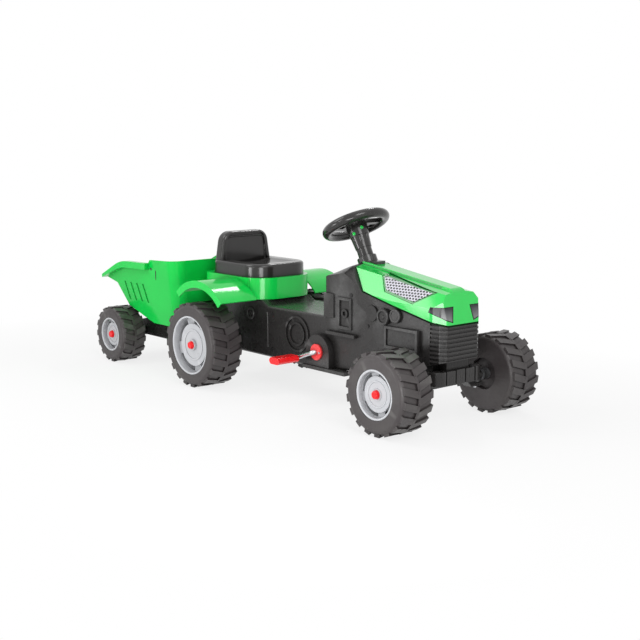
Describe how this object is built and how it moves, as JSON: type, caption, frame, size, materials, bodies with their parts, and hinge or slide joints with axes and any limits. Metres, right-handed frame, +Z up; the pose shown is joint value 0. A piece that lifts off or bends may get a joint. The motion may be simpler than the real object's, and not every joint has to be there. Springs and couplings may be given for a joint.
{
  "type": "ride-on pedal tractor with trailer",
  "caption": "Child's ride-on pedal tractor with steered front wheels, chain-driven rear axle, moulded seat and a tub trailer that swings on a hitch pin.",
  "frame": {"origin": "floor level, at the middle of the length and width of tractor and trailer together", "axes": "+X forward along the length, +Y to the driver's left, +Z up"},
  "size_m": [1.4, 0.509, 0.5189],
  "materials": {
    "green_plastic": "gloss",
    "black_plastic": "satin",
    "tyre_plastic": "matte",
    "rim_plastic": "satin",
    "red_plastic": "gloss",
    "mesh_plastic": "satin",
    "lamp_plastic": "gloss",
    "steel": "satin"
  },
  "bodies": {
    "chassis": {"chassis_right": "black_plastic", "chassis_left": "black_plastic", "body_screws": "steel", "hood": "green_plastic", "hood_mesh_panels": "mesh_plastic", "headlamp_lenses": "lamp_plastic", "nose_grille": "black_plastic", "front_weights": "black_plastic", "column_collar": "black_plastic", "front_axle_beam": "black_plastic", "kingpins": "steel", "crank_bush_right": "red_plastic", "crank_bush_left": "red_plastic", "crank_bush_screws": "steel", "rear_axle_bushes": "black_plastic", "seat_base": "green_plastic", "seat": "black_plastic", "tow_bracket": "steel", "hitch_pin": "steel", "drive_chain": "steel"},
    "steering": {"steering_wheel": "black_plastic", "column_sleeve": "black_plastic", "steering_shaft": "steel"},
    "horn": {"horn_button": "black_plastic"},
    "knuckle_right": {"knuckle_right": "black_plastic", "stub_axle_right": "steel", "front_cap_right": "red_plastic"},
    "knuckle_left": {"knuckle_left": "black_plastic", "stub_axle_left": "steel", "front_cap_left": "red_plastic"},
    "tie_rod": {"tie_rod": "black_plastic"},
    "front_wheel_right": {"front_tyre_right": "tyre_plastic", "front_rim_right": "rim_plastic"},
    "front_wheel_left": {"front_tyre_left": "tyre_plastic", "front_rim_left": "rim_plastic"},
    "rear_axle": {"rear_axle": "steel", "rear_sprocket": "steel", "rear_tyre_right": "tyre_plastic", "rear_rim_right": "rim_plastic", "rear_cap_right": "red_plastic", "rear_cap_left": "red_plastic"},
    "rear_wheel_left": {"rear_tyre_left": "tyre_plastic", "rear_rim_left": "rim_plastic"},
    "crank": {"pedal_crank": "steel", "chainwheel": "steel"},
    "pedal_right": {"pedal_right": "red_plastic"},
    "pedal_left": {"pedal_left": "red_plastic"},
    "trailer": {"trailer_chassis": "black_plastic", "trailer_tub": "green_plastic", "trailer_axle": "steel", "trailer_cap_right": "red_plastic", "trailer_cap_left": "red_plastic"},
    "trailer_wheel_right": {"trailer_tyre_right": "tyre_plastic", "trailer_rim_right": "rim_plastic"},
    "trailer_wheel_left": {"trailer_tyre_left": "tyre_plastic", "trailer_rim_left": "rim_plastic"}
  },
  "joints": [
    {"name": "steering_turn", "type": "hinge", "parent": "chassis", "child": "steering", "pos_m": [0.269, 0, 0.47], "axis": [-0.454, 0, 0.891], "range_deg": [-25, 25]},
    {"name": "horn_press", "type": "slide", "parent": "steering", "child": "horn", "axis": [0.454, 0, -0.891], "range_m": [0, 0.003], "stiffness_N_per_m": 400},
    {"name": "knuckle_right_turn", "type": "hinge", "parent": "chassis", "child": "knuckle_right", "pos_m": [0.597, -0.112, 0.103], "axis": [0, 0, 1], "range_deg": [-25, 25]},
    {"name": "knuckle_left_turn", "type": "hinge", "parent": "chassis", "child": "knuckle_left", "pos_m": [0.597, 0.112, 0.103], "axis": [0, 0, 1], "range_deg": [-25, 25]},
    {"name": "tie_rod_swing", "type": "hinge", "parent": "knuckle_right", "child": "tie_rod", "pos_m": [0.552, -0.112, 0.079], "axis": [0, 0, 1], "range_deg": [-25, 25]},
    {"name": "front_wheel_right_spin", "type": "hinge", "parent": "knuckle_right", "child": "front_wheel_right", "pos_m": [0.597, -0.191, 0.103], "axis": [0, 1, 0], "continuous": true},
    {"name": "front_wheel_left_spin", "type": "hinge", "parent": "knuckle_left", "child": "front_wheel_left", "pos_m": [0.597, 0.191, 0.103], "axis": [0, 1, 0], "continuous": true},
    {"name": "rear_axle_spin", "type": "hinge", "parent": "chassis", "child": "rear_axle", "pos_m": [-0.143, 0, 0.12], "axis": [0, 1, 0], "continuous": true, "deforming": ["drive_chain"]},
    {"name": "rear_wheel_left_spin", "type": "hinge", "parent": "rear_axle", "child": "rear_wheel_left", "pos_m": [-0.143, 0.2, 0.12], "axis": [0, 1, 0], "continuous": true},
    {"name": "crank_spin", "type": "hinge", "parent": "chassis", "child": "crank", "pos_m": [0.23749, 0, 0.138], "axis": [0, 1, 0], "continuous": true},
    {"name": "pedal_right_spin", "type": "hinge", "parent": "crank", "child": "pedal_right", "pos_m": [0.1713, -0.166, 0.11521], "axis": [0, 1, 0], "continuous": true},
    {"name": "pedal_left_spin", "type": "hinge", "parent": "crank", "child": "pedal_left", "pos_m": [0.30368, 0.166, 0.16079], "axis": [0, 1, 0], "continuous": true},
    {"name": "trailer_yaw", "type": "hinge", "parent": "chassis", "child": "trailer", "pos_m": [-0.285, 0, 0.122], "axis": [0, 0, 1], "range_deg": [-18, 18]},
    {"name": "trailer_wheel_right_spin", "type": "hinge", "parent": "trailer", "child": "trailer_wheel_right", "pos_m": [-0.613, -0.1895, 0.087], "axis": [0, 1, 0], "continuous": true},
    {"name": "trailer_wheel_left_spin", "type": "hinge", "parent": "trailer", "child": "trailer_wheel_left", "pos_m": [-0.613, 0.1895, 0.087], "axis": [0, 1, 0], "continuous": true}
  ],
  "couplings": [
    {"joint": "knuckle_right_turn", "follows": "steering_turn", "ratio": 1},
    {"joint": "knuckle_left_turn", "follows": "steering_turn", "ratio": 1},
    {"joint": "tie_rod_swing", "follows": "steering_turn", "ratio": -1},
    {"joint": "crank_spin", "follows": "rear_axle_spin", "ratio": 0.71429}
  ]
}
